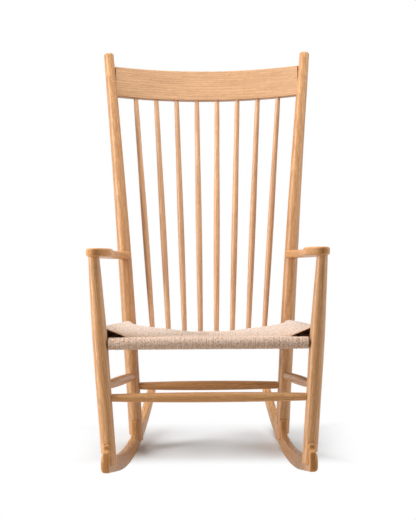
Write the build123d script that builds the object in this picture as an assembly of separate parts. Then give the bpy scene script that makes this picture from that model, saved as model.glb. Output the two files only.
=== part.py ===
"""Spindle-back rocking chair with a woven cord seat, as separate pieces (millimetres).

+Z is up, the chair faces -Y and the sitter's left side is +X. The origin is on the
floor at the middle of the chair's outline. Positions along the chair are given as the
distance behind the front foot and are moved to the origin by place().
"""
import os
from math import cos, hypot, radians, sin, sqrt, tan

from build123d import *

os.makedirs("parts", exist_ok=True)

# ---------------------------------------------------------------- whole chair
origin_behind_front_foot = 407.5    # origin lies this far behind the front foot datum
rake = 8.7                          # legs lean back and seat slopes down by this angle
lean_back = tan(radians(rake))      # run back per unit of height

# ---------------------------------------------------------------- front legs
front_leg_x = 248.7                 # leg axis at floor level
front_leg_y = -10.7
front_leg_splay = 0.0691            # run outward per unit of height
front_leg_foot_z = 78.0
front_leg_d_foot = 38.4
front_leg_d_seat = 38.8
front_leg_d_top = 28.6
foot_taper = 0.6                    # legs and posts narrow by this toward their lower ends
front_leg_tenon_d = 20.0
front_leg_tenon_length = 13.0

# ---------------------------------------------------------------- back posts
post_x = 198.0                      # post axis at floor level
post_y = 493.1
post_splay = 0.0568                 # below the bend
post_splay_top = 0.0945             # at the very top
post_lean_top = 0.414
post_bend_z = 340.0                 # straight below, bent backward above
post_top_z = 1068.0
post_foot_z = 26.0
post_d_foot = 37.8
post_d_seat = 38.4
post_d_arm = 36.7
post_d_crest = 29.6
post_d_top = 26.8
post_top_round = 5.0

# ---------------------------------------------------------------- rockers
rocker_radius = 1252.0
rocker_low_point_y = 404.5          # point that rests on the floor
rocker_front_y = -38.0
rocker_tail_y = 853.2
rocker_straight_y = 148.0           # in front of this the lower edge runs straight
rocker_x = 260.3                    # middle of the board at the front foot datum
rocker_toe_in = 0.1125              # the pair converges toward the back
rocker_thickness = 22.0
rocker_height_front = 41.0
rocker_height_middle = 41.5
rocker_height_tail = 26.0
rocker_edge_round = 5.0             # edges of the inner face and of the pads
rocker_outer_round = 9.0            # edges of the outer face
rocker_toe_round = 15.0
rocker_shoulder_round = 24.0        # front corner of the runner beside the pad
rocker_tail_round = 9.0
rocker_overlap = 9.0                # the outer half reaches this far into the inner half
pad_thickness = 17.0                # raised pad that fits the slot of a leg
pad_front_top_z = 136.9
pad_rear_top_z = 86.8
pad_overhang = 13.0                 # pad beyond the leg, before and behind
pad_front_depth = 40.0              # from the pad's top down into the runner
pad_rear_depth = 52.0
pad_nose_round = 6.0
pad_front_hollow = 7.5              # hollow before the front pad
pad_rear_hollow = 28.0              # hollow before the rear pad
pad_back_hollow = 18.0              # hollow behind each pad
slot_clearance = 0.15

# ---------------------------------------------------------------- seat frame
front_rail_z = 383.0
front_rail_d = 24.6
front_rail_wrap_d = 31.8
rear_rail_y = 531.0
rear_rail_z = 310.5
rear_rail_d = 18.8
rear_rail_wrap_d = 26.0
side_rail_front_z = 412.0
side_rail_rear_z = 337.0
side_rail_d = 20.0
side_rail_wrap_d = 28.0

# ---------------------------------------------------------------- stretchers
stretcher_d_end = 19.6
stretcher_d_middle = 26.0
front_stretcher_z = 247.4
rear_stretcher_z = 173.6
side_stretcher_front_z = 276.7
side_stretcher_rear_z = 199.5

# ---------------------------------------------------------------- round joints
cut_reach = 60.0                    # how far cutting shapes run past what they cut
rail_tenon_d = 14.0
rail_tenon_depth = 15.0             # past the surface of the leg
tenon_clearance = 0.1
socket_beyond = 1.0                 # how much deeper a socket is than its tenon
cope_clearance = 0.3                # between a rail's end and the round leg
stretcher_gap = 1.2                 # the same at a stretcher, which leaves a dark ring

# ---------------------------------------------------------------- back
lower_back_rail_y = 545.5
lower_back_rail_z = 283.0
lower_back_rail_d = 25.0
lower_back_tenon_d = 12.0
lower_back_tenon_tip = 3.0          # tenon ends this far short of the post's axis
lower_back_body_tip = 11.0          # full diameter ends this far short of it
crest_middle_z = 993.4
crest_height = 85.0
crest_thickness = 18.0
crest_sweep = 57.0                  # middle of the board behind its ends
crest_edge_round = 2.5
crest_housing = 11.0                # how far the ends enter the posts
spindle_count = 8
spindle_pitch_bottom = 43.2
spindle_pitch_top = 56.5
spindle_d_bottom = 13.4
spindle_d_middle = 17.3
spindle_d_crest = 12.2
spindle_socket_depth = 16.0
spindle_foot_depth = 12.0           # into the lower back rail
spindle_taper = 1.2                 # both ends narrow by this
foot_chamfer = 1.5                  # lower ends of legs and posts

# ---------------------------------------------------------------- arms
arm_thickness = 21.0
arm_slope = 9.8
arm_top_y = 60.0                    # where the height of the top face is given
arm_top_z = 627.6
arm_nose_x = 290.0
arm_nose_y = 52.5
arm_inner_x = 249.0                 # widest part of the arm
arm_outer_x = 311.4
arm_neck_width = 36.0               # where the arm meets the post
arm_edge_round = 6.0
arm_rear_tenon_d = 15.0
arm_rear_tenon_length = 12.0        # from the face of the post into the arm
arm_cope_depth = 5.0

# ---------------------------------------------------------------- cord seat
side_weave_from = 77.0              # the side rails carry cord between these places
side_weave_to = 515.0
side_wrap_beyond = 8.0              # bare round of cord behind the side weave
cord_layer = 3.2
seam_front_half = 234.0             # where the weave's seams start on the front rail
seam_rear_half = 200.0
seam_gap = 0.5
wrap_clearance = 0.3                # between cord and bare rail
wrap_end_gap = 1.5                  # between cord and leg


def place(x, y, z):
    """Point from side, distance behind the front foot datum and height."""
    return Vector(x, y - origin_behind_front_foot, z)


def front_leg_at(z):
    return place(front_leg_x + front_leg_splay * z, front_leg_y + lean_back * z, z)


def post_at(z):
    """Axis of the back post: straight below the bend and a parabola above it."""
    rise = max(0.0, z - post_bend_z)
    spread = (post_splay_top - post_splay) / (2 * (post_top_z - post_bend_z))
    sweep_back = (post_lean_top - lean_back) / (2 * (post_top_z - post_bend_z))
    x = post_x + post_splay * z + spread * rise * rise
    y = post_y + lean_back * z + sweep_back * rise * rise
    return place(x, y, z)


def post_direction(z):
    return (post_at(z + 0.5) - post_at(z - 0.5)).normalized()


def rod(start, end, diameter):
    """Plain cylinder between two points."""
    span = end - start
    bar = Cylinder(diameter / 2, span.length, align=(Align.CENTER, Align.CENTER, Align.MIN))
    return Plane(origin=start, z_dir=span.normalized()) * bar


def turned(start, end, stations):
    """Turned piece between two points from (distance, diameter) stations."""
    profile = [(diameter / 2, distance) for distance, diameter in stations]
    low = stations[0][0]
    high = stations[-1][0]
    side = Spline(*profile) if len(profile) > 2 else Line(*profile)
    caps = Polyline(profile[-1], (0, high), (0, low), profile[0])
    half_section = make_face(Plane.XZ * (side + caps))
    return Plane(origin=start, z_dir=(end - start).normalized()) * revolve(half_section, Axis.Z)


def beyond(start, end, distance):
    """Point past the end of a line."""
    return end + (end - start).normalized() * distance


def round_rail(start, end, d_end, d_middle, radius_start, radius_end, tenon_d):
    """Rail between two leg axes with ends coped to the round legs, its tenons and their sockets.

    start and end lie on the axes of the legs; radius_start and radius_end are the legs' radii.
    """
    span = end - start
    along = span.normalized()
    length = span.length
    first = radius_start * 0.72
    last = length - radius_end * 0.72
    if d_middle > d_end:
        middle = (first + last) / 2
        quarter = d_end + (d_middle - d_end) * 0.75
        stations = [(first, d_end), ((first + middle) / 2, quarter), (middle, d_middle)]
        stations += [((middle + last) / 2, quarter), (last, d_end)]
    else:
        stations = [(first, d_end), (last, d_end)]
    body = turned(start, end, stations)
    tenon_from = start + along * (radius_start - rail_tenon_depth)
    tenon_to = end - along * (radius_end - rail_tenon_depth)
    tenon = rod(tenon_from, tenon_to, tenon_d)
    extra = along * socket_beyond
    socket = rod(tenon_from - extra, tenon_to + extra, tenon_d + 2 * tenon_clearance)
    return body, tenon, socket


def joined(first, second):
    """Two overlapping solids as one, having made sure that neither got lost."""
    whole = first + second
    if whole.volume < max(first.volume, second.volume):
        raise ValueError("a joined piece came out smaller than one of its halves")
    return whole


def both_sides(name, solid):
    """Write the piece of the sitter's left side and its mirror image."""
    export_step(solid, f"parts/{name}_left.step")
    export_step(mirror(solid, about=Plane.YZ), f"parts/{name}_right.step")


# ================================================================ rocker boards
rocker_run = sqrt(1 + rocker_toe_in * rocker_toe_in)
rocker_plane = Plane(
    origin=place(rocker_x, 0, 0),
    x_dir=(-rocker_toe_in, 1, 0),
    z_dir=(1, rocker_toe_in, 0),
)


def rocker_bottom(y):
    """Point of the rocker's lower edge, in the plane of the board."""
    reach = (y - rocker_low_point_y) * rocker_run
    return (y * rocker_run, rocker_radius - sqrt(rocker_radius**2 - reach * reach))


def rocker_front_bottom(y):
    """Point of the straight stretch of the lower edge, in the plane of the board."""
    start = rocker_bottom(rocker_straight_y)
    slope = (rocker_straight_y - rocker_low_point_y) * rocker_run / (rocker_radius - start[1])
    along = y * rocker_run
    return (along, start[1] + slope * (along - start[0]))


def above(point, height):
    return (point[0], point[1] + height)


def board_coordinates(point):
    """A point of the chair seen square to the board."""
    local = rocker_plane.to_local_coords(point)
    return (local.X, local.Y)


rocker_middle_y = (rocker_front_y + rocker_tail_y) / 2
straight_start = rocker_bottom(rocker_straight_y)
lower_front = rocker_front_bottom(rocker_front_y)
lower_tail = rocker_bottom(rocker_tail_y)
upper_front = above(rocker_bottom(rocker_front_y), rocker_height_front)
upper_tail = above(lower_tail, rocker_height_tail)
upper_middle = above(rocker_bottom(rocker_middle_y), rocker_height_middle)
lower_edge = ThreePointArc(straight_start, rocker_bottom(rocker_middle_y), lower_tail)
upper_edge = ThreePointArc(upper_front, upper_middle, upper_tail)
runner_raw = make_face(
    Curve()
    + [
        lower_edge,
        Line(lower_front, straight_start),
        upper_edge,
        Line(lower_front, upper_front),
        Line(lower_tail, upper_tail),
    ]
)


def corner(face, point):
    """Vertex of a flat outline nearest to a point."""
    target = Vector(point[0], point[1], 0)
    return min(face.vertices(), key=lambda v: (Vector(v.X, v.Y, v.Z) - target).length)


def rounded(face, point, radius):
    return fillet(corner(face, point), radius)


def round_runner_ends(face, shoulder_round):
    face = rounded(face, lower_front, rocker_toe_round)
    face = rounded(face, upper_front, shoulder_round)
    face = rounded(face, lower_tail, rocker_tail_round)
    return rounded(face, upper_tail, rocker_tail_round)


runner_outline = round_runner_ends(runner_raw, pad_nose_round)
outer_outline = round_runner_ends(runner_raw, rocker_shoulder_round)


def pad_outline(axis_point_at, diameter, top_z, depth):
    """Raised block of the rocker inside the slot of one leg, square to the leg's axis."""
    low = board_coordinates(axis_point_at(top_z - depth))
    high = board_coordinates(axis_point_at(top_z))
    lean = (high[0] - low[0]) / (high[1] - low[1])
    tilt = 1 / hypot(lean, 1)
    up = (lean * tilt, tilt)
    fore = (-tilt, lean * tilt)
    reach = diameter / 2 + pad_overhang
    # The nose is the pad's highest point, so the top passes through it.
    top = (high[0] - up[0] * reach * lean * tilt, high[1] - up[1] * reach * lean * tilt)
    corners = []
    for side, drop in ((1, 0), (-1, 0), (-1, depth), (1, depth)):
        x = top[0] + fore[0] * reach * side - up[0] * drop
        z = top[1] + fore[1] * reach * side - up[1] * drop
        corners.append((x, z))
    return corners, up


front_pad, front_up = pad_outline(front_leg_at, front_leg_d_foot, pad_front_top_z, pad_front_depth)
rear_pad, rear_up = pad_outline(post_at, post_d_foot, pad_rear_top_z, pad_rear_depth)


def board(outline, from_n, to_n):
    """Flat board between two distances along its normal."""
    return extrude(Pos(0, 0, from_n) * outline, to_n - from_n, dir=(0, 0, 1))


def upright_edges(solid):
    """Straight edges of a board that run through its thickness."""
    return [e for e in solid.edges().filter_by(Axis.Z) if e.geom_type == GeomType.LINE]


def edge_near(solid, point):
    """Edge through the thickness of a board nearest to a point of its outline."""
    return min(upright_edges(solid), key=lambda e: hypot(e.center().X - point[0], e.center().Y - point[1]))


def foot_of_pad(solid, pad_top, up):
    """Edge where the side of a pad that starts at pad_top meets the runner."""
    found = None
    for e in upright_edges(solid):
        dx = e.center().X - pad_top[0]
        dy = e.center().Y - pad_top[1]
        off = abs(dx * up[1] - dy * up[0])
        down = -(dx * up[0] + dy * up[1])
        if off < 0.05 and down > 1 and (found is None or down < found[0]):
            found = (down, e)
    return found[1]


def blended(solid, pad, up, fore_hollow, rear_hollow):
    """Hollow the corners between pad and runner and round the pad's top corners."""
    solid = fillet(foot_of_pad(solid, pad[0], up), fore_hollow)
    solid = fillet(foot_of_pad(solid, pad[1], up), rear_hollow)
    solid = fillet(edge_near(solid, pad[0]), pad_nose_round)
    return fillet(edge_near(solid, pad[1]), pad_nose_round)


def edges_at(solid, n):
    """Edges lying in the face of a board at distance n along its normal."""
    chosen = []
    for e in solid.edges():
        box = e.bounding_box()
        if abs(box.min.Z - n) < 0.01 and abs(box.max.Z - n) < 0.01:
            chosen.append(e)
    return chosen


inner_face_n = -rocker_thickness / 2
outer_face_n = rocker_thickness / 2
pad_outer_n = inner_face_n + pad_thickness

inner_board = board(runner_outline, inner_face_n, pad_outer_n)
inner_board += board(make_face(Polyline(*front_pad, close=True)), inner_face_n, pad_outer_n)
inner_board += board(make_face(Polyline(*rear_pad, close=True)), inner_face_n, pad_outer_n)
inner_board = blended(inner_board, front_pad, front_up, pad_front_hollow, pad_back_hollow)
inner_board = blended(inner_board, rear_pad, rear_up, pad_rear_hollow, pad_back_hollow)
inner_board = fillet(edges_at(inner_board, inner_face_n), rocker_edge_round)
inner_board = fillet(edges_at(inner_board, pad_outer_n), rocker_edge_round)
outer_board = board(outer_outline, pad_outer_n - rocker_overlap, outer_face_n)
outer_board = fillet(edges_at(outer_board, outer_face_n), rocker_outer_round)
rocker = rocker_plane * joined(inner_board, outer_board)
both_sides("rocker", rocker)


def leg_slot(pad):
    """Room that a leg's slot leaves for the pad and for the runner below it."""
    c = slot_clearance
    front_top, rear_top = pad[0], pad[1]
    slope = (rear_top[1] - front_top[1]) / (rear_top[0] - front_top[0])
    start = (front_top[0] - cut_reach, front_top[1] - cut_reach * slope + c)
    stop = (rear_top[0] + cut_reach, rear_top[1] + cut_reach * slope + c)
    ground = -cut_reach
    outline = Polyline(start, stop, (stop[0], ground), (start[0], ground), close=True)
    slot = board(make_face(outline), inner_face_n - c, pad_outer_n + c)
    before = upper_front[0] - cut_reach
    shoulder_top = above(upper_front, c)
    shoulder_end = above(upper_tail, c)
    outside = Polyline(
        shoulder_top, (before, shoulder_top[1]), (before, ground), (upper_tail[0], ground), shoulder_end
    )
    runner_top = ThreePointArc(shoulder_top, above(upper_middle, c), shoulder_end)
    shoulder = make_face(Curve() + [runner_top, outside])
    return rocker_plane * (slot + board(shoulder, inner_face_n - c, cut_reach))


# ================================================================ arms
arm_lean = radians(arm_slope)
arm_top_plane = Plane(
    origin=place(0, arm_top_y, arm_top_z),
    x_dir=(1, 0, 0),
    z_dir=(0, sin(arm_lean), cos(arm_lean)),
)


def height_in_arm(axis_at, depth):
    """Height at which the axis of a leg or post is a given depth below the arm's top face."""
    low = 0.0
    high = post_top_z
    for _ in range(40):
        middle = (low + high) / 2
        if (arm_top_plane.origin - axis_at(middle)).dot(arm_top_plane.z_dir) > depth:
            low = middle
        else:
            high = middle
    return low


arm_joint_z = height_in_arm(post_at, arm_thickness / 2)
arm_joint = post_at(arm_joint_z)
arm_joint_radius = post_d_arm / 2
leg_meets_arm_z = height_in_arm(front_leg_at, arm_thickness)
arm_neck_end = arm_joint.Y + origin_behind_front_foot - arm_joint_radius + arm_cope_depth
arm_neck_inner = arm_joint.X - arm_neck_width / 2
arm_neck_outer = arm_joint.X + arm_neck_width / 2


def between(low, high, share):
    return low + (high - low) * share


def on_arm(x, back_share):
    """Point of the arm's outline by side and by share of the way from nose to post."""
    y = between(arm_nose_y, arm_neck_end, back_share)
    return (x, (y - arm_top_y) / cos(arm_lean))


# Shares of the way from nose to post and of the way from the neck's side to the widest side.
arm_inner_shape = (
    (1.0, 0.0), (0.95, 0.25), (0.87, 0.65), (0.77, 0.89), (0.64, 1.0), (0.46, 1.0),
    (0.29, 0.90), (0.15, 0.89), (0.063, 1.08), (0.015, 1.56),
)
arm_outer_shape = (
    (0.018, 0.875), (0.073, 0.985), (0.17, 1.0), (0.325, 1.0), (0.5, 0.94),
    (0.675, 0.78), (0.83, 0.515), (0.937, 0.22), (1.0, 0.0),
)
arm_points = [on_arm(between(arm_neck_inner, arm_inner_x, side), back) for back, side in arm_inner_shape]
arm_points += [on_arm(arm_nose_x, 0.0)]
arm_points += [on_arm(between(arm_neck_outer, arm_outer_x, side), back) for back, side in arm_outer_shape]
arm_side = Spline(*arm_points)
arm_end = Line(arm_points[-1], arm_points[0])
arm_face = make_face(Curve() + [arm_side, arm_end])
arm_blank = extrude(Pos(0, 0, -arm_thickness) * arm_face, arm_thickness, dir=(0, 0, 1))


def long_edges(solid, level):
    """Curved edges of the arm in its top or bottom face."""
    chosen = []
    for e in edges_at(solid, level):
        if e.geom_type != GeomType.LINE:
            chosen.append(e)
    return chosen


arm_blank = fillet(long_edges(arm_blank, 0) + long_edges(arm_blank, -arm_thickness), arm_edge_round)
arm_blank = arm_top_plane * arm_blank
arm_underside = arm_top_plane.offset(-arm_thickness)
post_here = post_direction(arm_joint_z)
arm_cope = rod(
    arm_joint - post_here * 3 * arm_thickness,
    arm_joint + post_here * 3 * arm_thickness,
    2 * arm_joint_radius + 2 * cope_clearance,
)
arm_back = Vector(0, cos(arm_lean), -sin(arm_lean))
arm_tenon_start = arm_joint - arm_back * (arm_joint_radius + arm_rear_tenon_length)
arm_tenon_end = arm_joint + arm_back
arm_tenon = rod(arm_tenon_start, arm_tenon_end, arm_rear_tenon_d)
arm_socket_in_post = rod(
    arm_joint - arm_back * arm_thickness,
    arm_tenon_end + arm_back * socket_beyond,
    arm_rear_tenon_d + 2 * tenon_clearance,
)

# ================================================================ front legs
leg_foot = front_leg_at(front_leg_foot_z)
leg_top_z = leg_meets_arm_z + 2 * arm_thickness     # length of the blank; the arm's underside trims it


def upper_leg_z(share):
    """Height between the seat and the arm."""
    return between(front_rail_z, leg_meets_arm_z, share)


def upper_leg_d(share):
    """Diameter between the one at the seat and the one at the arm."""
    return between(front_leg_d_seat, front_leg_d_top, share)


leg_profile = (
    (front_leg_foot_z, front_leg_d_foot - foot_taper),
    (between(front_leg_foot_z, front_stretcher_z, 0.37), front_leg_d_foot),
    (front_stretcher_z, front_leg_d_foot),
    (front_rail_z, front_leg_d_seat),
    (upper_leg_z(0.26), upper_leg_d(0.16)),
    (upper_leg_z(0.53), upper_leg_d(0.45)),
    (upper_leg_z(0.76), upper_leg_d(0.67)),
    (upper_leg_z(0.99), upper_leg_d(1.0)),
    (leg_top_z, upper_leg_d(1.22)),
)
leg_stations = [((front_leg_at(z) - leg_foot).length, d) for z, d in leg_profile]
front_leg = turned(leg_foot, front_leg_at(leg_top_z), leg_stations)
front_leg = chamfer(front_leg.edges().filter_by(GeomType.CIRCLE).sort_by(Axis.Z)[0], foot_chamfer)
cut_width = 4 * arm_outer_x
cut_height = 6 * arm_thickness
front_leg -= arm_underside * Pos(0, 0, cut_height / 2) * Box(cut_width, cut_width, cut_height)
leg_axis = (front_leg_at(leg_meets_arm_z) - leg_foot).normalized()
tenon_root = front_leg_at(leg_meets_arm_z - front_leg_tenon_length)
tenon_tip_z = leg_meets_arm_z + front_leg_tenon_length
front_leg += rod(tenon_root, front_leg_at(tenon_tip_z), front_leg_tenon_d)
arm_socket_tip = front_leg_at(tenon_tip_z + socket_beyond)
arm_socket = rod(tenon_root, arm_socket_tip, front_leg_tenon_d + 2 * tenon_clearance)
front_leg -= leg_slot(front_pad)

arm = arm_blank - arm_cope + arm_tenon - arm_socket
both_sides("arm", arm)

# ================================================================ back posts
def lower_post_z(share):
    return between(post_foot_z, post_bend_z, share)


def middle_post_z(share):
    return between(post_bend_z, arm_joint_z, share)


def upper_post_z(share):
    return between(arm_joint_z, post_top_z, share)


post_cap_z = post_top_z - 1.5 * post_top_round      # the rounded end is turned above this
post_sections = (
    (post_foot_z, post_d_foot - foot_taper),
    (lower_post_z(0.27), post_d_foot),
    (lower_post_z(0.62), post_d_foot),
    (lower_post_z(0.84), post_d_seat),
    (middle_post_z(0.03), post_d_seat),
    (middle_post_z(0.42), between(post_d_seat, post_d_arm, 0.35)),
    (middle_post_z(0.82), between(post_d_seat, post_d_arm, 0.76)),
    (upper_post_z(0.065), between(post_d_arm, post_d_crest, 0.07)),
    (upper_post_z(0.27), between(post_d_arm, post_d_crest, 0.37)),
    (upper_post_z(0.505), between(post_d_arm, post_d_crest, 0.69)),
    (upper_post_z(0.73), between(post_d_arm, post_d_crest, 0.92)),
    (upper_post_z(0.875), between(post_d_crest, post_d_top, 0.36)),
    (post_cap_z, post_d_top),
)


def post_section(z, diameter):
    """Round section of the post square to its axis."""
    direction = post_direction(z)
    x_dir = Vector(1, 0, 0) - direction * direction.X
    return Plane(origin=post_at(z), x_dir=x_dir, z_dir=direction) * Circle(diameter / 2)


def rounded_end(base, tip, diameter, radius):
    """Short round bar whose far edge is rounded."""
    bar = Cylinder(diameter / 2, (tip - base).length, align=(Align.CENTER, Align.CENTER, Align.MIN))
    bar = fillet(bar.edges().sort_by(Axis.Z)[-1], radius)
    return Plane(origin=base, z_dir=post_direction(post_cap_z)) * bar


back_post = loft([post_section(z, d) for z, d in post_sections])
back_post = chamfer(back_post.edges().sort_by(Axis.Z)[0], foot_chamfer)
post_cap = rounded_end(post_at(post_cap_z), post_at(post_top_z), post_d_top, post_top_round)
back_post = joined(back_post, post_cap)
back_post -= leg_slot(rear_pad)
back_post -= arm_socket_in_post

# ================================================================ crest rail
crest_origin = post_at(crest_middle_z)
crest_direction = post_direction(crest_middle_z)
crest_lean = Vector(0, crest_direction.Y, crest_direction.Z).normalized()
crest_plane = Plane(
    origin=Vector(0, crest_origin.Y, crest_origin.Z), x_dir=(1, 0, 0), z_dir=crest_lean
)
crest_half = crest_origin.X
crest_radius = (crest_half**2 + crest_sweep**2) / (2 * crest_sweep)


def crest_board(thickness, height, half_length, edge_round):
    """Board bent to an arc, hollow toward the sitter, with rounded long edges."""
    centre = (0, crest_sweep - crest_radius)
    turn = half_length / crest_radius
    front_radius = crest_radius - thickness / 2
    back_radius = crest_radius + thickness / 2

    def on_arc(radius, angle):
        return (centre[0] + radius * sin(angle), centre[1] + radius * cos(angle))

    outline = Curve() + [
        ThreePointArc(on_arc(front_radius, -turn), on_arc(front_radius, 0), on_arc(front_radius, turn)),
        ThreePointArc(on_arc(back_radius, -turn), on_arc(back_radius, 0), on_arc(back_radius, turn)),
        Line(on_arc(front_radius, -turn), on_arc(back_radius, -turn)),
        Line(on_arc(front_radius, turn), on_arc(back_radius, turn)),
    ]
    blank = extrude(Pos(0, 0, -height / 2) * make_face(outline), height, dir=(0, 0, 1))
    chosen = []
    for level in (-height / 2, height / 2):
        for e in edges_at(blank, level):
            if e.geom_type != GeomType.LINE:
                chosen.append(e)
    return crest_plane * fillet(chosen, edge_round)


crest_inset = post_d_crest / 2 - crest_housing
crest_rail = crest_board(crest_thickness, crest_height, crest_half - crest_inset, crest_edge_round)
crest_room = crest_board(
    crest_thickness + 2 * tenon_clearance,
    crest_height + 2 * tenon_clearance,
    crest_half - crest_inset + socket_beyond,
    crest_edge_round + tenon_clearance,
)
back_post -= crest_room


def crest_bottom_at(x):
    """Middle of the crest rail's lower edge at a distance from the centre."""
    depth = crest_sweep - crest_radius + sqrt(crest_radius**2 - x * x)
    return crest_plane.from_local_coords(Vector(x, depth, -crest_height / 2))


# ================================================================ lower back rail
lower_z = lower_back_rail_z
lower_end = post_at(lower_z)
lower_left = Vector(lower_end.X, place(0, lower_back_rail_y, 0).Y, lower_z)
lower_right = Vector(-lower_left.X, lower_left.Y, lower_z)
post_radius_low = post_d_seat / 2
lower_reach = lower_left.X - lower_back_body_tip
lower_back_rail = rod(
    Vector(-lower_reach, lower_left.Y, lower_z), Vector(lower_reach, lower_left.Y, lower_z), lower_back_rail_d
)
post_low_axis = post_direction(lower_z)
for side in (1, -1):
    axis_point = Vector(side * lower_end.X, lower_end.Y, lower_z)
    axis_dir = Vector(side * post_low_axis.X, post_low_axis.Y, post_low_axis.Z)
    lower_back_rail -= rod(
        axis_point - axis_dir * cut_reach, axis_point + axis_dir * cut_reach,
        2 * (post_radius_low + cope_clearance),
    )
lower_tenon_end = lower_left.X - lower_back_tenon_tip
lower_back_rail += rod(
    Vector(-lower_tenon_end, lower_left.Y, lower_z), Vector(lower_tenon_end, lower_left.Y, lower_z),
    lower_back_tenon_d,
)
back_post -= rod(
    Vector(lower_tenon_end + socket_beyond, lower_left.Y, lower_z),
    Vector(lower_tenon_end - cut_reach, lower_left.Y, lower_z),
    lower_back_tenon_d + 2 * tenon_clearance,
)

# ================================================================ back spindles
middle_index = (spindle_count - 1) / 2
head_room_before = 12.0             # the socket's cutter starts below the crest rail
for i in range(spindle_count):
    offset = i - middle_index
    foot = Vector(offset * spindle_pitch_bottom, lower_left.Y, lower_z)
    head = crest_bottom_at(offset * spindle_pitch_top)
    along = (head - foot).normalized()
    start = foot + along * (lower_back_rail_d / 2 - spindle_foot_depth)
    end = beyond(foot, head, spindle_socket_depth)
    full = (end - start).length
    foot_d = spindle_d_bottom - spindle_taper
    lower_d = between(spindle_d_bottom, spindle_d_middle, 0.23)
    stations = [
        (0, foot_d),
        (0.10 * full, lower_d),
        (0.25 * full, between(spindle_d_bottom, spindle_d_middle, 0.72)),
        (0.42 * full, spindle_d_middle),
        (0.60 * full, between(spindle_d_middle, spindle_d_crest, 0.16)),
        (0.80 * full, between(spindle_d_middle, spindle_d_crest, 0.59)),
        (full - spindle_socket_depth, spindle_d_crest),
        (full, spindle_d_crest - spindle_taper),
    ]
    spindle = turned(start, end, stations)
    export_step(spindle, f"parts/back_spindle_{i + 1}.step")
    c = tenon_clearance
    foot_room = [(0, foot_d + 2 * c), (0.10 * full, lower_d + 2 * c)]
    lower_back_rail -= turned(start - along * socket_beyond, end, foot_room)
    head_room = [
        (0, spindle_d_crest + spindle_taper),
        (head_room_before, spindle_d_crest + 2 * c),
        (head_room_before + spindle_socket_depth + socket_beyond, spindle_d_crest - spindle_taper + 2 * c),
    ]
    crest_rail -= turned(head - along * head_room_before, end, head_room)

export_step(crest_rail, "parts/crest_rail.step")
export_step(lower_back_rail, "parts/lower_back_rail.step")


# ================================================================ seat rails and stretchers
def cope_around(point, direction, radius, clearance):
    return rod(point - direction * cut_reach, point + direction * cut_reach, 2 * (radius + clearance))


leg_radius = front_leg_d_seat / 2
post_radius = post_d_seat / 2
leg_foot_radius = front_leg_d_foot / 2
post_foot_radius = post_d_foot / 2


def other_side(v):
    return Vector(-v.X, v.Y, v.Z)


def cross_rail(end, axis_point, axis, d_end, d_middle, radius, tenon_d, clearance):
    """Rail across the chair between a pair of legs; returns rail and the left leg's socket."""
    body, tenon, socket = round_rail(other_side(end), end, d_end, d_middle, radius, radius, tenon_d)
    body -= cope_around(axis_point, axis, radius, clearance)
    body -= cope_around(other_side(axis_point), other_side(axis), radius, clearance)
    return body + tenon, socket


front_rail, socket = cross_rail(
    front_leg_at(front_rail_z), front_leg_at(front_rail_z), leg_axis,
    front_rail_d, front_rail_d, leg_radius, rail_tenon_d, cope_clearance,
)
front_leg -= socket
export_step(front_rail, "parts/front_seat_rail.step")

rear_end = Vector(post_at(rear_rail_z).X, place(0, rear_rail_y, 0).Y, rear_rail_z)
rear_rail, socket = cross_rail(
    rear_end, post_at(rear_rail_z), post_direction(rear_rail_z),
    rear_rail_d, rear_rail_d, post_radius, lower_back_tenon_d, cope_clearance,
)
back_post -= socket
export_step(rear_rail, "parts/rear_seat_rail.step")

front_stretcher, socket = cross_rail(
    front_leg_at(front_stretcher_z), front_leg_at(front_stretcher_z), leg_axis,
    stretcher_d_end, stretcher_d_middle, leg_foot_radius, rail_tenon_d, stretcher_gap,
)
front_leg -= socket
export_step(front_stretcher, "parts/front_stretcher.step")

rear_stretcher, socket = cross_rail(
    post_at(rear_stretcher_z), post_at(rear_stretcher_z), post_direction(rear_stretcher_z),
    stretcher_d_end, stretcher_d_middle, post_foot_radius, rail_tenon_d, stretcher_gap,
)
back_post -= socket
export_step(rear_stretcher, "parts/rear_stretcher.step")


def side_rail(front_z, rear_z, d_end, d_middle, front_radius, rear_radius, clearance):
    """Rail from front leg to back post; returns rail and its socket."""
    front_point = front_leg_at(front_z)
    rear_point = post_at(rear_z)
    body, tenon, socket = round_rail(
        front_point, rear_point, d_end, d_middle, front_radius, rear_radius, rail_tenon_d
    )
    body -= cope_around(front_point, leg_axis, front_radius, clearance)
    body -= cope_around(rear_point, post_direction(rear_z), rear_radius, clearance)
    return body + tenon, socket


seat_side, socket = side_rail(
    side_rail_front_z, side_rail_rear_z, side_rail_d, side_rail_d, leg_radius, post_radius, cope_clearance
)
front_leg -= socket
back_post -= socket
both_sides("side_seat_rail", seat_side)

side_stretcher, socket = side_rail(
    side_stretcher_front_z, side_stretcher_rear_z,
    stretcher_d_end, stretcher_d_middle, leg_foot_radius, post_foot_radius, stretcher_gap,
)
front_leg -= socket
back_post -= socket
both_sides("side_stretcher", side_stretcher)
both_sides("front_leg", front_leg)
both_sides("back_post", back_post)

# ================================================================ woven cord seat
front_rail_y = front_leg_at(front_rail_z).Y + origin_behind_front_foot
top_front_z = front_rail_z + front_rail_wrap_d / 2
top_rear_z = rear_rail_z + rear_rail_wrap_d / 2
low_front_z = front_rail_z - front_rail_wrap_d / 2
low_rear_z = rear_rail_z - rear_rail_wrap_d / 2
rail_run = rear_rail_y - front_rail_y


def top_z(y):
    return top_front_z + (top_rear_z - top_front_z) * (y - front_rail_y) / rail_run


def low_z(y):
    return low_front_z + (low_rear_z - low_front_z) * (y - front_rail_y) / rail_run


def wrap(start, end, rail_d, wrap_d):
    """Round of cord about a rail, and the room for the rail inside it."""
    along = (end - start).normalized()
    room = rod(start - along * cut_reach, end + along * cut_reach, rail_d + 2 * wrap_clearance)
    return rod(start, end, wrap_d), room


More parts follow.
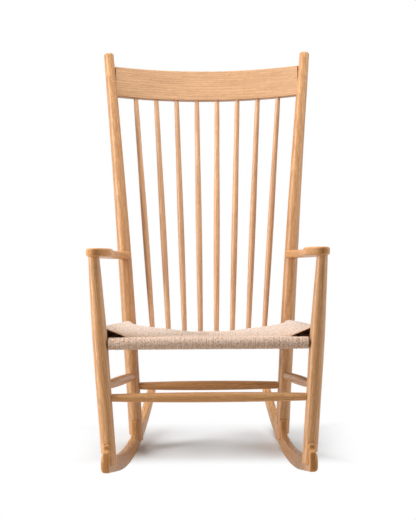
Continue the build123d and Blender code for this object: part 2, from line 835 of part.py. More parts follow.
def skin(corners, thickness):
    """Flat layer of cord over a polygon, thickened upward."""
    return extrude(make_face(Polyline(*corners, close=True)), thickness, dir=(0, 0, 1))


front_apex_y = front_rail_y + seam_front_half
rear_apex_y = rear_rail_y - seam_rear_half


def triangle(y_rail, half, y_apex, height_at, lift):
    corners = []
    for x, y in ((-half, y_rail), (half, y_rail), (0, y_apex)):
        p = place(x, y, height_at(y) + lift)
        corners.append((p.X, p.Y, p.Z))
    return skin(corners, cord_layer)


front_wrap_half = front_leg_at(front_rail_z).X - leg_radius - wrap_end_gap
front_axis_y = place(0, front_rail_y, 0).Y
weave_front, front_rail_room = wrap(
    Vector(-front_wrap_half, front_axis_y, front_rail_z), Vector(front_wrap_half, front_axis_y, front_rail_z),
    front_rail_d, front_rail_wrap_d,
)
weave_front += triangle(front_rail_y, seam_front_half, front_apex_y, top_z, -cord_layer)
weave_front += triangle(front_rail_y, seam_front_half, front_apex_y, low_z, 0)
weave_front -= front_rail_room
export_step(weave_front, "parts/seat_weave_front.step")

rear_wrap_half = post_at(rear_rail_z).X - post_radius - wrap_end_gap
rear_axis_y = place(0, rear_rail_y, 0).Y
weave_rear, rear_rail_room = wrap(
    Vector(-rear_wrap_half, rear_axis_y, rear_rail_z), Vector(rear_wrap_half, rear_axis_y, rear_rail_z),
    rear_rail_d, rear_rail_wrap_d,
)
weave_rear += triangle(rear_rail_y, min(seam_rear_half, rear_wrap_half), rear_apex_y, top_z, -cord_layer)
weave_rear += triangle(rear_rail_y, min(seam_rear_half, rear_wrap_half), rear_apex_y, low_z, 0)
weave_rear -= rear_rail_room
export_step(weave_rear, "parts/seat_weave_rear.step")

side_a = front_leg_at(side_rail_front_z)
side_b = post_at(side_rail_rear_z)


def side_axis(y):
    """Point of the side rail's axis at a distance behind the front foot datum."""
    share = (place(0, y, 0).Y - side_a.Y) / (side_b.Y - side_a.Y)
    return side_a + (side_b - side_a) * share


def seam_x(y):
    """Side position of the weave's seam."""
    if y < front_apex_y:
        return (front_apex_y - y) + seam_gap
    if y > rear_apex_y:
        return (y - rear_apex_y) * seam_rear_half / (rear_rail_y - rear_apex_y) + seam_gap
    return seam_gap


def side_layer(height_at, lift, edge_sign):
    """Layer of cord from the seams out to the side rail, hollow like a saddle."""
    sections = []
    for y in (side_weave_from, front_apex_y, rear_apex_y, side_weave_to):
        axis = side_axis(y)
        rim = axis.Z + edge_sign * side_rail_wrap_d / 2
        inner = (seam_x(y), height_at(y) + lift)
        if edge_sign > 0:
            outer = (axis.X, rim - cord_layer)
        else:
            outer = (axis.X, rim)
        section = Polyline(
            inner, outer, (outer[0], outer[1] + cord_layer), (inner[0], inner[1] + cord_layer), close=True
        )
        here = Plane(origin=place(0, y, 0), x_dir=(1, 0, 0), z_dir=(0, -1, 0))
        sections.append(here * make_face(section))
    return loft(sections, ruled=True)


side_sleeve_from = side_axis(side_weave_from)
side_sleeve_to = side_axis(side_weave_to + side_wrap_beyond)
weave_side, side_rail_room = wrap(side_sleeve_from, side_sleeve_to, side_rail_d, side_rail_wrap_d)
weave_side += side_layer(top_z, -cord_layer, 1)
weave_side += side_layer(low_z, 0, -1)
weave_side -= side_rail_room
both_sides("seat_weave", weave_side)
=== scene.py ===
"""Rocking chair in pale oak with a seat woven from paper cord: looks, light and camera.

The wooden parts keep the frame's shapes and are given oak, each with its own grain. Single cords
replace the four closed solids of the woven seat. Lengths are metres in the frame's own axes: X to
the sitter's left, Y to the back and Z up.
"""
from math import asin, atan2, cos, hypot, pi, radians, sin
from random import Random

import bpy
from mathutils import Matrix, Vector


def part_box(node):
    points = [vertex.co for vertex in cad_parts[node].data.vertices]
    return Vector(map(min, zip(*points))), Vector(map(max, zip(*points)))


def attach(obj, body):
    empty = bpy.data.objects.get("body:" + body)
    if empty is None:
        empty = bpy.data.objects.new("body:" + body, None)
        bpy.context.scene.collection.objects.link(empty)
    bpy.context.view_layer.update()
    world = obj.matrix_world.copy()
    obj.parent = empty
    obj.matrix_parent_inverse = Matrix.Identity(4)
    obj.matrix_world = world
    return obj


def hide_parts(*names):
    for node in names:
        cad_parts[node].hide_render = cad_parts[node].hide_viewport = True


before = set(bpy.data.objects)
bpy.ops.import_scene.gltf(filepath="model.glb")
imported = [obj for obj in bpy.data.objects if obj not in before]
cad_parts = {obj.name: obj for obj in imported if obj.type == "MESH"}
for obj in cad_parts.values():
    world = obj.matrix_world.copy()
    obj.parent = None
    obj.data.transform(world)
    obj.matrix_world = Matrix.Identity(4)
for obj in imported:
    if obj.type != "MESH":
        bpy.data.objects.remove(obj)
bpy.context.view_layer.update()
white = (1, 1, 1, 1)

# ---------------------------------------------------------------- camera
camera_distance = 6.4075            # straight in front of the chair's origin
camera_height = 1.5549
camera_pitch = 9.0                  # degrees below level
camera_roll = -0.4                  # degrees
camera_focal = 167.8                # mm
sensor_height = 36.0                # mm
camera_reach = 200.0                # nothing farther than this is shown

# ---------------------------------------------------------------- cord seat
cord_pitch = 0.0032                 # from one cord to the next
cord_radius = 0.00152
cord_thickness = (0.97, 1.05)       # least and most that a cord's radius is multiplied by
cord_shift = 0.08                   # part of a pitch by which a cord may lie out of line
cord_rise = 0.00035                 # by which a cord may lie above or below its neighbours
cord_tuck = 2.2 * cord_radius       # by which the end of a cord dips into the seam
front_seam_half = 0.234             # from the chair's middle to where a seam meets the front rail
rear_seam_half = 0.194              # and the rear rail
wrap_radius_front = 0.0159          # outside of the cords round each rail
wrap_radius_rear = 0.0130
wrap_radius_side = 0.0140
leg_gap = 0.0015                    # between the last cord and the leg
shortest_reach = 3 * cord_radius    # a cord that would reach less far into the seat only rings its rail
rear_rail_room = 0.016              # and so does a side cord nearer than this to the rear rail's axis
middle_gap = 0.0006                 # least distance from the chair's middle where a side cord dips
end_face_depth = 0.002              # points this near to a rail's end belong to its end face
cord_sides = 8                      # faces round a cord
arc_steps = 9                       # faces along half a turn round a rail
steepest_sine = 0.999               # keeps a tangent defined where a cord starts close to its rail
cord_spacing = 3.0                  # the cords' maps start this far apart, one after another
cord_seed = 7
rand = Random(cord_seed)


# ================================================================ node helpers
class Graph:
    """Short-hand for building the nodes of a material or a world."""

    def __init__(self, owner, output="ShaderNodeOutputMaterial"):
        owner.use_nodes = True
        self.nodes = owner.node_tree.nodes
        self.links = owner.node_tree.links
        self.nodes.clear()
        self.output = self.add(output)

    def add(self, kind, inputs=None, **settings):
        """New node. Each input is a number, a colour or another node's output."""
        node = self.nodes.new(kind)
        for key, value in settings.items():
            setattr(node, key, value)
        for key, value in (inputs or {}).items():
            self.plug(value, node.inputs[key])
        return node

    def plug(self, value, socket):
        if isinstance(value, bpy.types.NodeSocket):
            self.links.new(value, socket)
        else:
            socket.default_value = value

    def show(self, shader):
        """Make a shader what the material or the world shows."""
        self.plug(shader, self.output.inputs["Surface"])

    def math(self, operation, a, b=0.0):
        return self.add("ShaderNodeMath", {0: a, 1: b}, operation=operation).outputs[0]

    def plus(self, a, b):
        return self.math("ADD", a, b)

    def minus(self, a, b):
        return self.math("SUBTRACT", a, b)

    def times(self, a, b):
        return self.math("MULTIPLY", a, b)

    def larger(self, a, b):
        return self.math("MAXIMUM", a, b)

    def size(self, a):
        return self.math("ABSOLUTE", a)

    def vector(self, operation, a, b=(0, 0, 0)):
        """A vector, or for DOT_PRODUCT and LENGTH a number."""
        node = self.add("ShaderNodeVectorMath", {0: a, 1: b}, operation=operation)
        return node.outputs["Value" if operation in ("DOT_PRODUCT", "LENGTH") else "Vector"]

    def separate(self, vector):
        return self.add("ShaderNodeSeparateXYZ", {0: vector}).outputs

    def combine(self, x, y, z=0.0):
        return self.add("ShaderNodeCombineXYZ", {0: x, 1: y, 2: z}).outputs[0]

    def coordinates(self, kind):
        return self.add("ShaderNodeTexCoord").outputs[kind]

    def noise(self, cells, detail, roughness=0.55):
        """Noise from 0 to 1 with one cell to each unit of the vector called cells."""
        inputs = {"Vector": cells, "Scale": 1.0, "Detail": detail, "Roughness": roughness}
        return self.add("ShaderNodeTexNoise", inputs).outputs["Fac"]

    def remap(self, value, low, high, to_low=0.0, to_high=1.0, interpolation="LINEAR"):
        """Carry a value from between low and high to between to_low and to_high, and hold it there."""
        inputs = {"Value": value, "From Min": low, "From Max": high, "To Min": to_low, "To Max": to_high}
        return self.add("ShaderNodeMapRange", inputs, interpolation_type=interpolation).outputs[0]

    def mix(self, share, a, b):
        """Colour between a and b."""
        node = self.add("ShaderNodeMix", data_type="RGBA")
        self.plug(share, node.inputs[0])
        self.plug(a, node.inputs[6])
        self.plug(b, node.inputs[7])
        return node.outputs[2]

    def mix_shader(self, share, a, b):
        return self.add("ShaderNodeMixShader", {0: share, 1: a, 2: b}).outputs[0]

    def emission(self, strength):
        return self.add("ShaderNodeEmission", {"Color": white, "Strength": strength}).outputs[0]

    def diffuse(self, colour):
        return self.add("ShaderNodeBsdfDiffuse", {"Color": colour}).outputs[0]

    def adjust(self, colour, brightness, saturation=1.0):
        inputs = {"Color": colour, "Value": brightness, "Saturation": saturation}
        return self.add("ShaderNodeHueSaturation", inputs).outputs[0]

    def bump(self, height, strength, distance):
        inputs = {"Height": height, "Strength": strength, "Distance": distance}
        return self.add("ShaderNodeBump", inputs).outputs[0]

    def principled(self, colour, roughness, normal, gloss, sheen=0.0):
        inputs = {"Base Color": colour, "Roughness": roughness, "Normal": normal,
                  "Specular IOR Level": gloss, "Sheen Weight": sheen}
        return self.add("ShaderNodeBsdfPrincipled", inputs).outputs[0]

    def seen(self):
        """1 for what the camera sees, directly, in a gloss or through glass, and 0 for other light."""
        path = self.add("ShaderNodeLightPath").outputs
        mirrored = self.larger(path["Is Glossy Ray"], path["Is Transmission Ray"])
        return self.larger(path["Is Camera Ray"], mirrored)


def link_object(name, data):
    """New object in the scene."""
    thing = bpy.data.objects.new(name, data)
    bpy.context.scene.collection.objects.link(thing)
    return thing


# ================================================================ oak
oak_pale = (0.78, 0.443, 0.205, 1)
oak_mid = (0.677, 0.360, 0.155, 1)
oak_dark = (0.43, 0.200, 0.071, 1)
oak_pore = (0.30, 0.130, 0.047, 1)
oak_layers = {                      # cells per metre across, across and along the grain; detail; roughness
    "waver": ((9.0, 9.0, 1.6), 2.0, 0.55),
    "fibres": ((900.0, 900.0, 26.0), 3.0, 0.6),
    "streaks": ((330.0, 330.0, 9.0), 2.0, 0.6),
    "pores": ((1500.0, 1500.0, 75.0), 1.0, 0.5),
    "patches": ((16.0, 16.0, 3.0), 2.0, 0.55),
    "flecks": ((420.0, 160.0, 60.0), 0.0, 0.55),
}
patch_limits = (0.3, 0.7)           # noise at which a layer's mark starts and at which it is full
streak_limits = (0.40, 0.68)
fibre_limits = (0.38, 0.70)
pore_limits = (0.60, 0.70)
fleck_limits = (0.66, 0.74)
ring_share = 0.42                   # of dark wood in late wood, in streaks and in fibres
streak_share = 0.50
fibre_share = 0.38
pore_share = (0.75, 0.30)           # of a pore's colour in early wood and in late wood
fleck_share = 0.35                  # of pale wood in a fleck
seed_shift = (0.37, 0.61, 1.3)      # from one seed's piece of the pattern to the next one's
pith_offset = (0.055, 0.035, 0.0)   # from the pith of the trunk to where the pattern starts
ring_waver = 7.5                    # rings by which a ring may stray
late_wood_start = 0.45              # parts of a ring's width: late wood sets in slowly from here
late_wood_full = 0.95               # to here, and then fades quickly to the ring's edge
end_grain_and_shade_limits = (0.55, 0.95)     # cosine from a face's normal to the darkened direction: no and full darkening, end grain on most parts and painted shade under the crest rail
roughness_limits = (0.3, 0.7)       # fibre noise for the least and the most roughness
oak_roughness = (0.30, 0.42)
oak_bump_strength = 0.22
oak_bump_height = 0.0004
fibre_height = 0.35                 # parts of that height
pore_depth = 0.8


def oak(name, grain_space, seed, tone=0.0, ends=None, both_ways=True, end_grain_and_shade_share=0.88, contrast=1.0,
        gloss=0.12, saturation=1.0, rings_per_m=310.0):
    """Oiled oak. grain_space(graph) gives a vector in metres whose Z runs along the grain.

    A face that looks along the given direction of the chair is darker, and so is one that looks the
    other way, unless both_ways is false: end grain on most parts, painted shade under the crest rail.
    """
    material = bpy.data.materials.new(name)
    g = Graph(material)
    place = g.vector("ADD", grain_space(g), tuple(seed * shift for shift in seed_shift))
    layer = {}
    for kind, (cells_per_m, detail, roughness) in oak_layers.items():
        layer[kind] = g.noise(g.vector("MULTIPLY", place, cells_per_m), detail, roughness)

    # Growth rings round the trunk's pith, which stray slowly along the grain.
    across = g.separate(g.vector("ADD", place, pith_offset))
    pith_distance = g.vector("LENGTH", g.combine(across[0], across[1]))
    rings = g.plus(g.times(pith_distance, rings_per_m), g.times(layer["waver"], ring_waver))
    ring = g.math("FRACT", rings)
    late_wood = g.times(
        g.remap(ring, late_wood_start, late_wood_full),
        g.remap(ring, 1.0, late_wood_full),
    )

    # Broad patches, late wood, streaks, fine fibres, open pores and flecks.
    colour = g.mix(g.remap(layer["patches"], *patch_limits), oak_mid, oak_pale)
    colour = g.mix(g.times(late_wood, ring_share * contrast), colour, oak_dark)
    streak_mask = g.remap(layer["streaks"], *streak_limits, to_high=streak_share * contrast)
    colour = g.mix(streak_mask, colour, oak_dark)
    colour = g.mix(g.remap(layer["fibres"], *fibre_limits, to_high=fibre_share), colour, oak_dark)
    pore_mask = g.times(
        g.remap(layer["pores"], *pore_limits),
        g.remap(late_wood, 0.0, 1.0, *pore_share),
    )
    colour = g.mix(pore_mask, colour, oak_pore)
    colour = g.mix(g.remap(layer["flecks"], *fleck_limits, to_high=fleck_share), colour, oak_pale)
    # Faces that look along that direction are darker: end grain on most parts, painted shade under the
    # crest rail.
    if ends is not None:
        facing = g.vector("DOT_PRODUCT", g.coordinates("Normal"), tuple(Vector(ends).normalized()))
        facing = g.size(facing) if both_ways else facing
        colour = g.mix(g.remap(facing, *end_grain_and_shade_limits, to_high=end_grain_and_shade_share), colour, oak_dark)

    height = g.minus(g.times(layer["fibres"], fibre_height), g.times(pore_mask, pore_depth))
    g.show(g.principled(
        g.adjust(colour, 1.0 + tone, saturation),
        g.remap(layer["fibres"], *roughness_limits, *oak_roughness),
        g.bump(height, oak_bump_strength, oak_bump_height),
        gloss,
    ))
    return material


def straight_grain(along):
    """Grain along a direction of the chair."""
    turn = Vector(along).normalized().rotation_difference(Vector((0, 0, 1))).to_euler()

    def space(g):
        where = g.coordinates("Object")
        return g.add("ShaderNodeMapping", {"Vector": where, "Rotation": turn}).outputs[0]

    return space


def bent_grain(middle, up, radius):
    """Grain that follows a board bent about an axis.

    The axis runs through middle along up, and radius is measured out to the board.
    """
    back = Vector((0, up.z, -up.y))

    def space(g):
        reach = g.vector("SUBTRACT", g.coordinates("Object"), middle)
        height = g.vector("DOT_PRODUCT", reach, up)
        depth = g.vector("DOT_PRODUCT", reach, back)
        across = g.separate(reach)[0]
        turn = g.math("ARCTAN2", across, depth)
        out = g.vector("LENGTH", g.combine(across, depth))
        return g.combine(height, out, g.times(turn, radius))

    return space


def arc_grain(low_point_y, radius):
    """Grain that follows an upright board bent to an arc that stands on the floor."""

    def space(g):
        where = g.separate(g.coordinates("Object"))
        back = g.minus(where[1], low_point_y)
        down = g.minus(radius, where[2])
        turn = g.math("ARCTAN2", back, down)
        out = g.vector("LENGTH", g.combine(back, down))
        return g.combine(where[0], out, g.times(turn, radius))

    return space


# ================================================================ wooden parts
long_parts = [                      # parts with the grain along them, and what sets their oak apart
    (("front_leg_left", "front_leg_right", "back_post_left", "back_post_right"),
     {"gloss": 0.5, "rings_per_m": 130.0}),
    ([f"back_spindle_{i}" for i in range(1, 9)], {"gloss": 0.5, "saturation": 0.90}),
    (("side_stretcher_left", "side_stretcher_right"), {}),
    (("side_seat_rail_left", "side_seat_rail_right"), {"gloss": 0.5}),
    (("arm_left", "arm_right"), {"end_grain_and_shade_share": 1.0}),
]
cross_parts = ["lower_back_rail", "front_seat_rail", "rear_seat_rail", "front_stretcher", "rear_stretcher"]
long_contrast = 1.5
end_slice = 0.02                    # share of a part's height that counts as its lower or upper end
first_long_seed = 1
crest_seed = 31
first_cross_seed = 32
first_rocker_seed = 51
crest_axis = (0.0, -0.236, 1.207)   # the crest rail is bent about a line through this point
crest_lean = radians(21.2)          # and the line leans back by this angle
crest_radius = 0.647
crest_up = Vector((0, sin(crest_lean), cos(crest_lean)))
# The crest rail's underside is darker: painted shade under it, not end grain.
crest_finish = {"ends": -crest_up, "both_ways": False, "gloss": 0.3, "saturation": 0.88}
rocker_radius = 1.252
rocker_low_y = -0.003               # where a rocker touches the floor
rocker_finish = {"ends": (0, 1, 0.2), "end_grain_and_shade_share": 0.60, "contrast": 1.8, "gloss": 0.05}
wood_tones_and_shade = {                      # paler (above 0) or darker wood, and painted shade on the parts under and inside the seat
    "front_leg_right": 0.03, "back_post_left": -0.01, "back_post_right": -0.08,
    "back_spindle_1": 0.12, "back_spindle_2": 0.02, "back_spindle_3": 0.01, "back_spindle_4": 0.03,
    "back_spindle_5": 0.16, "back_spindle_6": 0.10, "back_spindle_7": 0.05, "back_spindle_8": 0.08,
    "arm_left": 0.04, "arm_right": 0.08, "crest_rail": -0.01,
    "side_stretcher_left": -0.0122, "side_stretcher_right": 0.06,
    # The rear stretcher is darker as painted shade under the seat.
    "front_stretcher": 0.02, "rear_stretcher": -0.16,
    # The seat rails are darker as painted shade inside the seat.
    "front_seat_rail": -0.6, "side_seat_rail_left": -0.6, "side_seat_rail_right": -0.6,
}


def lengthwise(node):
    """Direction from the middle of a part's lower end to the middle of its upper end."""
    points = [v.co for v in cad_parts[node].data.vertices]
    low = min(p.z for p in points)
    high = max(p.z for p in points)
    depth = end_slice * (high - low)
    lower_end = [p for p in points if p.z - low < depth]
    upper_end = [p for p in points if high - p.z < depth]
    return sum(upper_end, Vector()) / len(upper_end) - sum(lower_end, Vector()) / len(lower_end)


def dress(node, grain_space, seed, **finish):
    """Give a wooden part oak of its own."""
    material = oak(f"oak_{node}", grain_space, seed, wood_tones_and_shade.get(node, 0.0), **finish)
    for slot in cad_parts[node].material_slots:
        slot.material = material


def dress_wood():
    seed = first_long_seed
    for nodes, finish in long_parts:
        for node in nodes:
            along = lengthwise(node)
            dress(node, straight_grain(along), seed, ends=along, contrast=long_contrast, **finish)
            seed += 1
    crest_grain = bent_grain(crest_axis, crest_up, crest_radius)
    dress("crest_rail", crest_grain, crest_seed, **crest_finish)
    for seed, node in enumerate(cross_parts, first_cross_seed):
        dress(node, straight_grain((1, 0, 0)), seed)
    for seed, node in enumerate(("rocker_left", "rocker_right"), first_rocker_seed):
        dress(node, arc_grain(rocker_low_y, rocker_radius), seed, **rocker_finish)


# ================================================================ paper cord
cord_colour = (0.88, 0.81, 0.76, 1)
cord_shade = (0.77, 0.62, 0.51, 1)
cord_speck = (0.50, 0.295, 0.150, 1)
# Painted shade in the grooves between plies and where a cord lies against the next.
cord_crease_shade = (0.60, 0.315, 0.125, 1)
# Painted shade on the side of each cord that looks into the seat.
cord_inside_shade = (0.36, 0.175, 0.092, 1)
cord_painted_light_along = 1.09        # painted light on the cords over the front and rear rails
cord_painted_shade_across = 0.92       # painted shade on the cords over the side rails
grooves_per_m = 145.0               # between the plies, met along a line on the cord
grooves_around = 2.0                # and met round it
fibre_cells = (300.0, 5.0)          # per metre along the cord, and from groove to groove
patch_cells = 9.0                   # per metre along the cord
speck_cells = (190.0, 0.75)         # per metre along the cord, and from cord to cord
groove_limits = (0.45, 0.05)        # distance from a groove's middle: edge and bottom of the groove
cord_patch_limits = (0.35, 0.65)    # noise at which a mark starts and at which it is full
cord_fibre_limits = (0.45, 0.75)
speck_limits = (0.50, 0.60)
side_limits = (0.45, 0.95)          # sine of the turn round a cord from its outermost line
inside_limits = (-0.15, -0.75)      # cosine of that turn
plain_share = 0.55                  # of the plain colour in the patches
tone_share = 0.25                   # of the shade in the darkest cord
crease_shade_share = 0.70                 # of the painted shade in a groove between plies
side_shade_share = 0.95                   # and of painted shade where a cord lies against the next
speck_share = 0.80
cord_fibre_share = 0.35
cord_fibre_height = 0.25
cord_bump_strength = 0.5
cord_bump_height = 0.0003
cord_roughness = 0.72
cord_gloss = 0.25
cord_sheen = 0.30


def paper_cord(name, brightness):
    """Twisted paper cord. The map called cord gives metres along a cord and turns round it."""
    material = bpy.data.materials.new(name)
    g = Graph(material)
    along, around, _ = g.separate(g.add("ShaderNodeUVMap", uv_map="cord").outputs[0])
    twist = g.plus(g.times(along, grooves_per_m), g.times(around, grooves_around))
    groove_distance = g.size(g.minus(g.times(g.math("FRACT", twist), 2.0), 1.0))
    groove = g.remap(groove_distance, *groove_limits)
    fibre_place = g.combine(g.times(along, fibre_cells[0]), g.times(twist, fibre_cells[1]))
    fibre = g.noise(fibre_place, detail=3.0)
    patches = g.noise(g.combine(g.times(along, patch_cells), 0.0), detail=1.0)
    colour = g.mix(g.remap(patches, *cord_patch_limits), cord_shade, cord_colour)
    colour = g.mix(plain_share, colour, cord_colour)
    fibre_mask = g.remap(fibre, *cord_fibre_limits, to_high=cord_fibre_share)
    colour = g.mix(fibre_mask, colour, cord_shade)
    # Painted shade in the grooves between plies.
    colour = g.mix(g.times(groove, crease_shade_share), colour, cord_crease_shade)

    # Each cord has its own tone and specks.
    cord = g.math("FLOOR", g.math("DIVIDE", along, cord_spacing))
    tone = g.add("ShaderNodeTexWhiteNoise", {"W": cord}, noise_dimensions="1D").outputs["Value"]
    colour = g.mix(g.times(tone, tone_share), colour, cord_shade)
    length = g.minus(along, g.times(cord, cord_spacing))
    speck_place = g.combine(g.times(length, speck_cells[0]), g.times(cord, speck_cells[1]))
    specks = g.noise(speck_place, detail=1.0)
    colour = g.mix(g.remap(specks, *speck_limits, to_high=speck_share), colour, cord_speck)

    # Painted shade where a cord lies against the next, darkest on the side that looks into the seat.
    turn = g.times(around, 2 * pi)
    side = g.size(g.math("SINE", turn))
    colour = g.mix(g.remap(side, *side_limits, to_high=side_shade_share), colour, cord_crease_shade)
    outward = g.math("COSINE", turn)
    colour = g.mix(g.remap(outward, *inside_limits), colour, cord_inside_shade)

    height = g.minus(g.times(fibre, cord_fibre_height), groove)
    g.show(g.principled(
        # The whole colour is scaled by brightness: painted light on the cords over the front and rear
        # rails, painted shade on those over the side rails.
        g.adjust(colour, brightness),
        cord_roughness,
        g.bump(height, cord_bump_strength, cord_bump_height),
        cord_gloss,
        cord_sheen,
    ))
    return material


# ================================================================ cord seat
def end_centres(node):
    """Middle of each end of a straight rail: the right end or, on a side rail, the front end first."""
    points = [v.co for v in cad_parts[node].data.vertices]
    low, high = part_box(node)
    axis = 0 if high.x - low.x > high.y - low.y else 1
    centres = []
    for end in (low[axis], high[axis]):
        face = [p for p in points if abs(p[axis] - end) < end_face_depth]
        centres.append(Vector([(min(p[i] for p in face) + max(p[i] for p in face)) / 2 for i in range(3)]))
    return centres


class Cords:
    """Collects the cords of one sector as tubes in one mesh."""

    def __init__(self, name):
        self.name = name
        self.points = []
        self.faces = []
        self.maps = []
        self.cords = 0

    def tube(self, path, closed):
        """Add one cord along a path of points that lies in an upright plane."""
        count = len(path)
        start = len(self.points)
        self.cords += 1
        radius = cord_radius * rand.uniform(*cord_thickness)
        flat = (path[count // 2] - path[0]).cross(path[count // 3] - path[0]).normalized()
        for i, point in enumerate(path):
            before = path[i - 1] if i > 0 or closed else point
            after = path[(i + 1) % count] if i < count - 1 or closed else point
            out = flat.cross((after - before).normalized())
            for k in range(cord_sides):
                turn = 2 * pi * k / cord_sides
                self.points.append(point + (out * cos(turn) + flat * sin(turn)) * radius)
        along = self.cords * cord_spacing
        for i in range(count if closed else count - 1):
            following = (i + 1) % count
            step = (path[following] - path[i]).length
            self.band(start + i * cord_sides, start + following * cord_sides, along, along + step)
            along += step

    def band(self, ring, following, u0, u1):
        """Add the faces from one ring of points to the following one, mapped from u0 to u1."""
        for k in range(cord_sides):
            n = (k + 1) % cord_sides
            v0 = k / cord_sides
            v1 = (k + 1) / cord_sides
            self.faces.append((ring + k, ring + n, following + n, following + k))
            self.maps.append(((u0, v0), (u0, v1), (u1, v1), (u1, v0)))

    def finish(self, material, node):
        """Make the piece, in place of the closed solid of its sector."""
        mesh = bpy.data.meshes.new(self.name)
        mesh.from_pydata(self.points, [], self.faces)
        layer = mesh.uv_layers.new(name="cord")
        corners = [uv for face in self.maps for uv in face]
        for corner, uv in zip(layer.data, corners):
            corner.uv = uv
        for polygon in mesh.polygons:
            polygon.use_smooth = True
        mesh.materials.append(material)
        piece = link_object(self.name, mesh)
        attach(piece, "root")
        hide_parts(node)


def tangent_turn(inner, centre, radius, side):
    """Turn about a rail at which a straight cord from inner meets it, above (1) or below (-1)."""
    out = centre[0] - inner[0]
    up = centre[1] - inner[1]
    sine = min(steepest_sine, radius / hypot(out, up))
    return atan2(up, out) + side * (asin(sine) + pi / 2)


def loop_round_rail(inner_high, inner_low, centre, radius):
    """Outline in (outward, up) of a cord from the seam, round a rail and back under the seat."""
    high = tangent_turn(inner_high, centre, radius, 1)
    low = tangent_turn(inner_low, centre, radius, -1)
    path = [(inner_high[0] - cord_radius, inner_high[1] - cord_tuck), inner_high]
    for i in range(arc_steps + 1):
        turn = high + (low - high) * i / arc_steps
        path.append((centre[0] + radius * cos(turn), centre[1] + radius * sin(turn)))
    path += [inner_low, (inner_low[0] - cord_radius, inner_low[1] + cord_tuck)]
    return path


def ring_round_rail(centre, radius):
    """Outline in (outward, up) of a cord that only goes round its rail."""
    steps = 2 * arc_steps
    turns = [2 * pi * i / steps for i in range(steps)]
    return [(centre[0] + radius * cos(turn), centre[1] + radius * sin(turn)) for turn in turns]


front_rail_end = end_centres("front_seat_rail")[0]
rear_rail_end = end_centres("rear_seat_rail")[0]
front_y, front_z = front_rail_end.y, front_rail_end.z
rear_y, rear_z = rear_rail_end.y, rear_rail_end.z
front_apex_y = front_y + front_seam_half    # where the front sector's two seams meet
rear_apex_y = rear_y - rear_seam_half


def seat_height(y, side):
    """Middle of the top (side 1) or bottom (side -1) cord between front and rear rail."""
    share = (y - front_y) / (rear_y - front_y)
    front = front_z + side * (wrap_radius_front - cord_radius)
    rear = rear_z + side * (wrap_radius_rear - cord_radius)
    return front + (rear - front) * share


def seam_y_front(x):
    return front_apex_y - abs(x)


def seam_y_rear(x):
    return rear_apex_y + abs(x)


def seam_x(y):
    """From the chair's middle to the seam on either side."""
    return max(front_apex_y - y, y - rear_apex_y, middle_gap)


def spread(low, high):
    """Evenly packed cord places between two limits, each slightly out of line."""
    count = int((high - low) / cord_pitch)
    step = (high - low) / count
    return [low + step * (i + 0.5) + rand.uniform(-cord_shift, cord_shift) * step for i in range(count)]


def uneven():
    return rand.uniform(-cord_rise, cord_rise)


def cross_sector(name, node, material, rail_y, rail_z, wrap_radius, outward, seam_y):
    """Cords that run front to back, over the front rail (outward -1) or the rear rail (outward 1)."""
    cords = Cords(name)
    centre = (0.0, rail_z)
    half_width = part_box(node)[1].x
    for x in spread(-half_width, half_width):
        radius = wrap_radius - cord_radius + uneven()
        reach = (seam_y(x) - rail_y) * -outward
        closed = reach < shortest_reach
        if closed:
            outline = ring_round_rail(centre, radius)
        else:
            high = (-reach, seat_height(seam_y(x), 1) + uneven())
            low = (-reach, seat_height(seam_y(x), -1))
            outline = loop_round_rail(high, low, centre, radius)
        cords.tube([Vector((x, rail_y + out * outward, up)) for out, up in outline], closed)
    cords.finish(material, node)


def side_sector(name, node, material, rail, side):
    """Cords that run across, over the left (side 1) or the right (side -1) rail."""
    cords = Cords(name)
    front_end, rear_end = end_centres(rail)
    low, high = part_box(node)
    for y in spread(low.y + leg_gap, high.y - leg_gap):
        share = (y - front_end.y) / (rear_end.y - front_end.y)
        axis = front_end + (rear_end - front_end) * share
        centre = (abs(axis.x), axis.z)
        radius = wrap_radius_side - cord_radius + uneven()
        closed = y > rear_y - rear_rail_room
        if closed:
            outline = ring_round_rail(centre, radius)
        else:
            inner_high = (seam_x(y), seat_height(y, 1) + uneven())
            inner_low = (seam_x(y), seat_height(y, -1))
            outline = loop_round_rail(inner_high, inner_low, centre, radius)
        cords.tube([Vector((out * side, y, up)) for out, up in outline], closed)
    cords.finish(material, node)


def weave_seat():
    # Two copies of one cord, brighter and darker: painted light and painted shade.
    across = paper_cord("paper_cord_across", cord_painted_shade_across)
    along = paper_cord("paper_cord_along", cord_painted_light_along)
    cross_sector("seat_cords_front", "seat_weave_front", along,
                 front_y, front_z, wrap_radius_front, -1, seam_y_front)
    cross_sector("seat_cords_rear", "seat_weave_rear", along,
                 rear_y, rear_z, wrap_radius_rear, 1, seam_y_rear)
    side_sector("seat_cords_left", "seat_weave_left", across, "side_seat_rail_left", 1)
    side_sector("seat_cords_right", "seat_weave_right", across, "side_seat_rail_right", -1)


# ================================================================ studio
floor_half = 40.0                   # from the chair to the floor's edges
floor_shown = (0.735, 0.76, 0.775, 1)       # where the camera sees the chair's shadow on it
floor_bounce = (0.76, 0.71, 0.655, 1)       # for the light that it throws back on the chair
floor_glow = 0.02
shadow_middle = (0.0, 0.165)        # X and Y of the middle of the shaded part of the floor
shadow_reach = ((0.22, 0.42), (0.08, 0.27))     # along X and Y it turns white between these distances
ambient_level = 0.02
lamps = [                           # name, place, target, width, height, watts
    ("left_box", (-2.45, -0.85, 1.42), (0, 0, 0.7), 0.8, 2.7, 82),
    ("right_box", (2.6, -0.5, 1.3), (0, 0, 0.6), 1.7, 2.2, 32),
    ("top_box", (0.0, -0.10, 3.2), (0, 0, 0.5), 1.4, 0.9, 63),
    ("back_box", (-0.9, 1.7, 2.4), (0, 0, 0.4), 1.2, 1.0, 26),
]


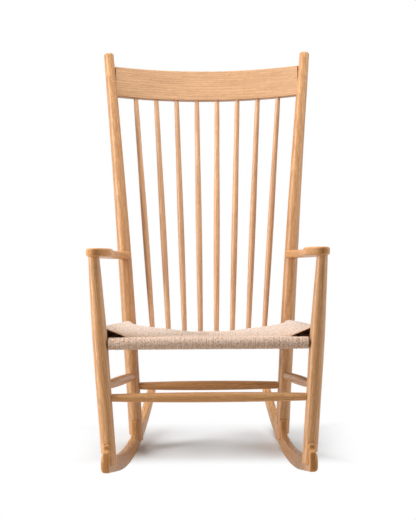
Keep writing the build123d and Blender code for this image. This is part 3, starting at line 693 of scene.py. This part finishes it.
def studio_floor():
    """Pale floor that fades into a white background and keeps the chair's shadow."""
    edge = floor_half
    corners = [(-edge, -edge, 0), (edge, -edge, 0), (edge, edge, 0), (-edge, edge, 0)]
    mesh = bpy.data.meshes.new("floor")
    mesh.from_pydata(corners, [], [(0, 1, 2, 3)])
    floor = link_object("floor", mesh)

    material = bpy.data.materials.new("floor")
    g = Graph(material)
    where = g.separate(g.coordinates("Object"))
    far = []
    for value, middle, (inner, outer) in zip(where, shadow_middle, shadow_reach):
        away = g.size(g.minus(value, middle))
        far.append(g.remap(away, inner, outer, interpolation="SMOOTHSTEP"))
    shaded = g.add("ShaderNodeAddShader", {0: g.diffuse(floor_shown), 1: g.emission(floor_glow)})
    shown = g.mix_shader(g.larger(*far), shaded.outputs[0], g.emission(1.0))
    g.show(g.mix_shader(g.seen(), g.diffuse(floor_bounce), shown))
    mesh.materials.append(material)


def studio_world():
    """White background that adds little light to the chair."""
    world = bpy.data.worlds.new("studio")
    bpy.context.scene.world = world
    g = Graph(world, "ShaderNodeOutputWorld")
    ambient = g.add("ShaderNodeBackground", {"Color": white, "Strength": ambient_level})
    shown = g.add("ShaderNodeBackground", {"Color": white, "Strength": 1.0})
    g.show(g.mix_shader(g.seen(), ambient.outputs[0], shown.outputs[0]))


def softbox(name, place, target, width, height, watts):
    light = bpy.data.lights.new(name, "AREA")
    light.shape = "RECTANGLE"
    light.size = width
    light.size_y = height
    light.energy = watts
    lamp = link_object(name, light)
    lamp.location = place
    lamp.rotation_euler = (Vector(target) - Vector(place)).to_track_quat("-Z", "Y").to_euler()


def studio_camera():
    camera = bpy.data.cameras.new("camera")
    camera.sensor_fit = "VERTICAL"
    camera.sensor_height = sensor_height
    camera.lens = camera_focal
    camera.clip_end = camera_reach
    viewer = link_object("camera", camera)
    pitch = Matrix.Rotation(radians(90 - camera_pitch), 4, "X")
    roll = Matrix.Rotation(radians(camera_roll), 4, "Z")
    viewer.matrix_world = Matrix.Translation((0, -camera_distance, camera_height)) @ pitch @ roll
    bpy.context.scene.camera = viewer


dress_wood()
weave_seat()
studio_floor()
studio_world()
for lamp in lamps:
    softbox(*lamp)
studio_camera()
bpy.context.scene.view_settings.view_transform = "Standard"
